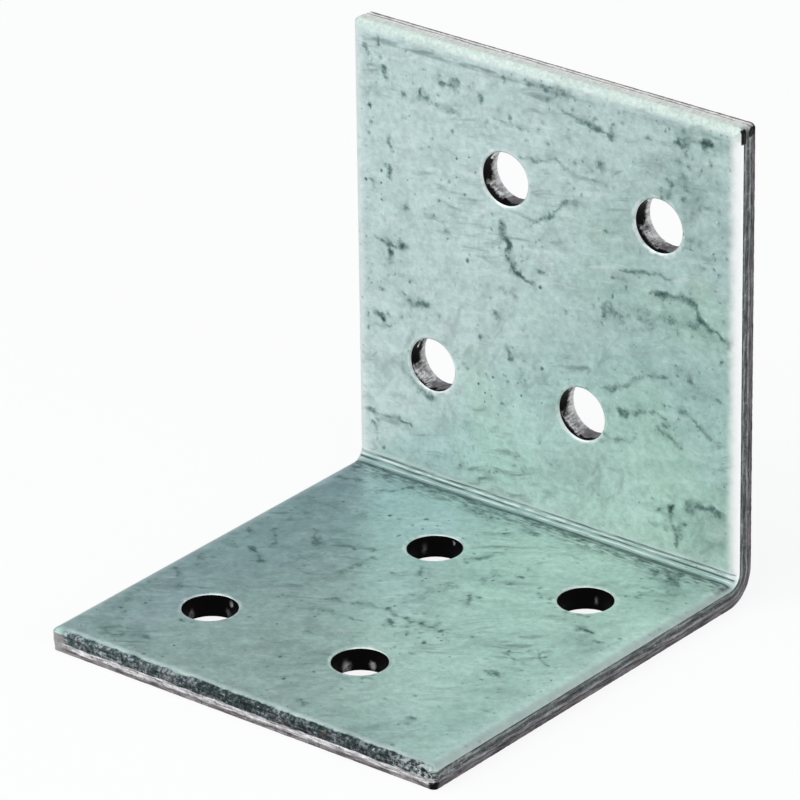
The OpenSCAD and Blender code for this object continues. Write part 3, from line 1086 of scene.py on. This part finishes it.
def zinc_face():
    """The coated faces and rolled corners."""
    t = Paint("zinc_face")
    broad_tones(t)
    mottle = t.noise(1.7, 3, 0.6)
    speckle = t.noise(0.45, 2, 0.6)
    grain = t.total(t.swing(mottle, 0.07), t.swing(speckle, 0.11, 0.25))
    t.color = t.scaled(t.color, t.total(1, grain))
    grime, streak = fine_dirt(t, mottle)
    mark = dirt_marks(t)
    fold_shade_lines, fold_highlight_lines, in_fold = fold_shade_and_highlights(t)
    # painted shade: the fold is darker
    t.coat(t.product(in_fold, t.patchy(0.8, 120, 0.6), 0.75), DEEP)
    rim_highlight_and_halo, rolled = rim_highlights_and_shade(t)
    black = shaded_front_rim(t)
    rim = top_rim(t)
    # painted highlights and painted shade in lines along the fold
    t.coat(fold_highlight_lines, PALE)
    t.coat(t.product(fold_shade_lines, 0.9), GRIME_AND_SHADE)
    t.coat(corner_bar(t), BLACK)

    rough = t.total(0.34, t.swing(mottle, 0.07), t.product(t.most(mark, grime), 0.25))
    rough = t.total(rough, t.product(rim_highlight_and_halo, 0.10), t.product(in_fold, 0.30))
    rough = t.total(rough, t.product(rolled, 0.2), t.product(rim, 0.25))
    relief = t.total(t.product(mottle, 0.9), t.product(speckle, 0.35), t.product(streak, 0.5))
    return t.metal(rough, t.ramp(black, 0, 1, 0.66, 0.97), relief, 0.045)


def bare_edge(t, height, torn, front, streaks):
    """The bare cut edges on the right and at the front, with painted shade on their dark bands."""
    # the right side: dark with painted shade, with a lighter band in the middle and a thin dark line
    # under it
    burnished = shaded_band(t)
    side = t.blend(torn, t.blend(0.5, burnished, SIDE_CUT), SIDE_TORN)
    side = t.blend(t.ramp(height, 0.62, 0.52), side, SIDE_LINE)
    side = t.blend(t.ramp(height, 0.48, 0.40), side, SIDE_LOW)
    side = t.blend(t.product(t.window(height, 1.16, 1.26, 1.42, 1.50), 0.6), side, SIDE_RIDGE)

    # the front: a pale band, the torn band in painted light, between the dark cut band in painted shade
    # and the darker outer corner
    ahead = t.blend(torn, burnished, FRONT_TORN)
    ahead = t.blend(t.ramp(height, 0.46, 0.30), ahead, FRONT_LOW)
    bare = t.blend(front, side, ahead)
    nicks = t.product(t.ramp(t.noise(0.42, 3, 0.7), 0.60, 0.70), t.ramp(height, 1.30, 1.10))
    bare = t.blend(t.product(nicks, 0.75), bare, NICK)
    glints = t.ramp(t.noise(0.36, 2, 0.7), 0.68, 0.78)
    bare = t.blend(t.product(glints, 0.6), bare, GLINT)
    bare = t.scaled(bare, t.ramp(streaks, 0.3, 0.7, 0.30, 1.90))
    return t.blend(t.ramp(t.u, 2 - HALF_W, 0.6 - HALF_W, 0, 0.85), bare, FRONT_LEFT)


def coated_edge(t, height, torn, streaks, crumb):
    """The cut edges at the top and left: cream, a painted light, with dark lines near the outer corner.
    """
    rule = t.product(t.window(height, 0.42, 0.54, 0.66, 0.78), t.ramp(streaks, 0.35, 0.6, 0.4, 1))
    zinc = t.blend(rule, t.blend(torn, LIT_CUT, LIT_TORN), LIT_RULE)
    zinc = t.blend(t.ramp(t.w, 0.26, 0.10), zinc, LIT_LOW)
    return t.blend(t.ramp(crumb, 0.55, 0.75, 0, 0.4), zinc, LIT_CRUMB)


def black_corner_spots(t, crumb):
    """Black where sheared edges meet: the upright's top right and the flat leg's front right."""

    def spot(middle, squash, far, close):
        gap = t.distance(t.place, middle, (1, squash, 1))
        return t.ramp(t.total(gap, t.swing(crumb, 0.12)), far, close)

    high = spot((HALF_W, STRIP_LEN - 0.60, 0.45), 1.8, 0.70, 0.58)
    return t.most(corner_bar(t), high, spot((HALF_W, 0, 0.1), 1, 0.75, 0.55))


def sheared_edge():
    """The cut edges all round the strip."""
    t = Paint("sheared_edge")
    coated = t.attribute("coated")
    height = t.total(t.w, t.swing(t.noise(1.6, 3, 0.6), 0.07, 0.25))
    fine = t.noise(0.22, 3, 0.65, place=t.stretched(t.place, (1, 1, 0.25)))
    streaks = t.noise(0.55, 3, 0.7, place=t.stretched(t.place, (0.3, 0.3, 2.5)))
    crumb = t.noise(0.35, 3, 0.7)
    aside = t.calc("SUBTRACT", HALF_W, t.calc("ABSOLUTE", t.u, 0))
    front = t.ramp(t.calc("SUBTRACT", aside, t.v), -0.2, 0.2)
    torn = t.ramp(height, 0.92, 0.82)
    t.color = bare_edge(t, height, torn, front, streaks)
    # painted light: the top and left cut edges are pale cream
    t.coat(coated, coated_edge(t, height, torn, streaks, crumb))
    t.color = t.scaled(t.color, t.total(t.ramp(fine, 0.25, 0.75, 0.88, 1.12), t.swing(crumb, 0.12)))
    rust = t.ramp(t.noise(2.6, 3, 0.6), 0.60, 0.72, 0, 0.35)
    t.coat(t.product(rust, t.less(coated)), RUST)
    black_spots = black_corner_spots(t, crumb)
    t.coat(black_spots, BLACK)

    rough = t.total(0.38, t.product(torn, 0.16), t.swing(crumb, 0.06))
    relief = t.total(t.product(fine, t.total(0.4, t.product(torn, 0.8))), t.product(crumb, 0.5))
    darkened = t.most(black_spots, t.product(front, t.less(torn)))
    metallic = t.most(t.total(0.75, t.product(coated, -0.55)), t.product(darkened, 0.97))
    return t.metal(rough, metallic, relief, 0.035)


# Light spots on the walls of the flat leg's holes:
# (hole, degrees round it, half width, height above the outer face, strength)
WALL_GLINTS = [
    (1, 103, 0.34, 0.5, 1.00),
    (1, 157, 0.54, 0.4, 0.55),
    (0, 82, 0.24, 1.35, 0.70),
    (0, 172, 0.40, 0.4, 0.40),
    (0, 92, 0.34, 0.5, 0.20),
    (2, 85, 0.22, 1.5, 0.45),
    (2, 150, 0.40, 0.8, 0.10),
    (3, 106, 0.24, 0.8, 0.28),
]


def wall_glints(t, mottle, wobble):
    """How bright the light spots in the flat leg's holes are."""
    glint = 0
    for hole, degrees, half, height, strength in WALL_GLINTS:
        turn = math.radians(degrees)
        u, v = HOLES[hole]
        middle = (u + HOLE_R * math.cos(turn), v + HOLE_R * math.sin(turn), height)
        gap = t.total(t.distance(t.place, middle, (1, 1, 0.6)), wobble)
        glint = t.total(glint, t.ramp(gap, half, 0, 0, strength))
    return t.product(glint, t.ramp(mottle, 0.35, 0.6, 0.2, 1.2), t.flat)


def upright_walls(t, mottle, scratches, wobble):
    """The walls of the upright leg's holes: (their grey, how deep the painted shadow over it is)."""
    varied = t.ramp(t.noise(9, 1), 0.4, 0.6, -0.25, 0.25)
    level = t.total(t.w, t.swing(mottle, 0.20), varied)

    def facing(degrees, outside, within):
        """1 on the part of the wall that lies in that direction from the hole's middle."""
        turn, outside, within = (math.radians(angle) for angle in (degrees, outside, within))
        aim = (math.cos(turn), math.sin(turn), 0)
        dot = t.vector("DOT_PRODUCT", t.attribute("round", "Vector"), aim, "Value")
        return t.ramp(t.total(dot, wobble), math.cos(outside), math.cos(within))

    # mottled grey, darker at the bottom, with painted shadow in black at the upper left and a light tip
    # in it
    tone = t.total(t.product(mottle, 0.45), t.product(scratches, 0.55))
    grey = t.blend(t.ramp(tone, 0.40, 0.60), *WALL_GREY)
    grey = t.blend(t.ramp(t.w, 0.75, 0.10, 0, 0.5), grey, WHITE)
    foot = facing(282, 40, 18)
    grey = t.blend(t.product(foot, 0.80), grey, WALL_FOOT)
    upper = t.product(facing(150, 70, 35), t.ramp(level, 0.05, 0.80))
    lower = t.product(facing(225, 65, 35), t.ramp(level, 1.20, 1.70), 0.9)
    shadow = t.most(upper, lower, t.product(foot, t.ramp(level, 1.20, 1.50)))
    tip = t.product(facing(134, 16, 8), t.window(t.w, 0.3, 0.6, 1.15, 1.35), t.ramp(mottle, 0.4, 0.55))
    shadow = t.calc("SUBTRACT", t.ramp(shadow, 0, 0.95), tip, clamp=True)
    return t.blend(t.product(tip, 0.8), grey, WHITE), shadow


def punched_wall():
    """The walls of the punched holes: painted shade in black in the flat leg, and partly grey in the
    upright one.
    """
    t = Paint("punched_wall")
    scratches = t.noise(0.24, 3, 0.65, place=t.stretched(t.place, (1, 1, 0.2)))
    mottle = t.noise(0.65, 3, 0.7)
    wobble = t.swing(mottle, 0.12)
    grey, shadow = upright_walls(t, mottle, scratches, wobble)
    pale = t.most(wall_glints(t, mottle, wobble), t.product(t.upright, t.less(shadow)))
    # painted shade: the walls are black wherever they are not pale
    t.color = t.blend(pale, WALL_BLACK, t.blend(t.upright, WALL_PALE, grey))
    rough = t.total(0.45, t.swing(mottle, 0.06))
    relief = t.total(t.product(scratches, 0.7), t.product(mottle, 0.9))
    return t.metal(rough, t.product(pale, 0.2), relief, 0.03, 0.02)


for made in (zinc_face(), sheared_edge(), punched_wall()):
    bracket.data.materials.append(made)

# The floor, in metres, its colour and how white it is for the camera
FLOOR_HALF = 3
FLOOR_Z = -0.00003
FLOOR_GREY = (0.85, 0.85, 0.85)
FLOOR_GLOW = 0.86


def floor():
    """A white floor that keeps the bracket's shadow."""
    mesh = bpy.data.meshes.new("floor")
    sides = [(-1, -1), (1, -1), (1, 1), (-1, 1)]
    corners = [(x * FLOOR_HALF, y * FLOOR_HALF, FLOOR_Z) for x, y in sides]
    mesh.from_pydata(corners, [], [(0, 1, 2, 3)])
    obj = new_object("floor", mesh)
    t = Nodes(bpy.data.materials.new("floor_white"))
    path = t.new("ShaderNodeLightPath").outputs
    seen = t.most(path["Is Camera Ray"], path["Is Glossy Ray"], path["Is Transmission Ray"])
    lit = t.new("ShaderNodeBsdfDiffuse", {"Color": FLOOR_GREY})
    white = t.new("ShaderNodeEmission", {"Color": (1, 1, 1), "Strength": 1})
    shaders = {0: t.product(seen, FLOOR_GLOW), 1: lit.outputs[0], 2: white.outputs[0]}
    t.surface("ShaderNodeOutputMaterial", t.new("ShaderNodeMixShader", shaders))
    mesh.materials.append(t.owner)


# The lamps, in metres: (name, azimuth, elevation, width, height, power). Azimuth 0 is in front of the
# bracket and 90 is to its right.
LAMPS = [
    ("key", -38, 36, 0.80, 0.70, 2.3),
    ("top", 10, 80, 0.5, 0.5, 0.8),
    ("rim", 82, 18, 0.30, 0.40, 1.3),
]
LAMP_DISTANCE = 0.6
LAMP_TARGET = (0, 0, 0.015)
BEHIND_LEFT = (-0.57, 0.70, 0.43)
SKY_FRONT = (0.54, 0.555, 0.57)
SKY_BEHIND = (0.32, 0.36, 0.40)


def towards(azimuth, elevation):
    """The direction of a place round the bracket, with angles in radians."""
    across = math.sin(azimuth) * math.cos(elevation)
    return Vector((across, -math.cos(azimuth) * math.cos(elevation), math.sin(elevation)))


def lamp(name, azimuth, elevation, width, height, power):
    data = bpy.data.lights.new(name, "AREA")
    data.shape = "RECTANGLE"
    data.size = width
    data.size_y = height
    data.energy = power
    obj = new_object(name, data)
    obj.location = towards(math.radians(azimuth), math.radians(elevation)) * LAMP_DISTANCE
    aim = Vector(LAMP_TARGET) - obj.location
    obj.rotation_euler = aim.to_track_quat("-Z", "Y").to_euler()


def studio():
    """A pale surround, dimmer and bluer behind and to the left."""
    world = bpy.data.worlds.new("studio")
    bpy.context.scene.world = world
    t = Nodes(world)
    way = t.new("ShaderNodeTexCoord").outputs["Generated"]
    behind = t.ramp(t.vector("DOT_PRODUCT", way, BEHIND_LEFT, "Value"), 0.2, 0.95)
    sky = {"Color": t.blend(behind, SKY_FRONT, SKY_BEHIND), "Strength": 1}
    t.surface("ShaderNodeOutputWorld", t.new("ShaderNodeBackground", sky))


floor()
for values in LAMPS:
    lamp(*values)
studio()

# The camera, fitted to the photograph: angles in degrees, lengths in millimetres
CAM_AZ, CAM_EL, CAM_ROLL = 39.012, 25.388, -0.794
CAM_DIST = 526.832
CAM_FOCAL_PX = 6858.006
CAM_TX, CAM_TY = -0.020, -0.657
CAM_AIM = (0.0, 0.0, 20.0)
FRAME_PX = 800
SENSOR = 36.0


def camera():
    az, el, roll = (math.radians(a) for a in (CAM_AZ, CAM_EL, CAM_ROLL))
    back = towards(az, el)
    side = (-back).cross(Vector((0, 0, 1))).normalized()
    up = side.cross(-back)
    right = side * math.cos(roll) + up * math.sin(roll)
    above = -side * math.sin(roll) + up * math.cos(roll)
    place = Vector(CAM_AIM) + back * CAM_DIST + right * CAM_TX + above * CAM_TY
    data = bpy.data.cameras.new("camera")
    data.sensor_width = SENSOR
    data.lens = CAM_FOCAL_PX / FRAME_PX * SENSOR
    data.clip_start = 0.01
    data.clip_end = 20
    obj = new_object("camera", data)
    turn = Matrix((right, above, back)).transposed()
    obj.matrix_world = Matrix.Translation(place * MM) @ turn.to_4x4()
    bpy.context.scene.camera = obj


camera()
bpy.context.scene.view_settings.view_transform = "Standard"
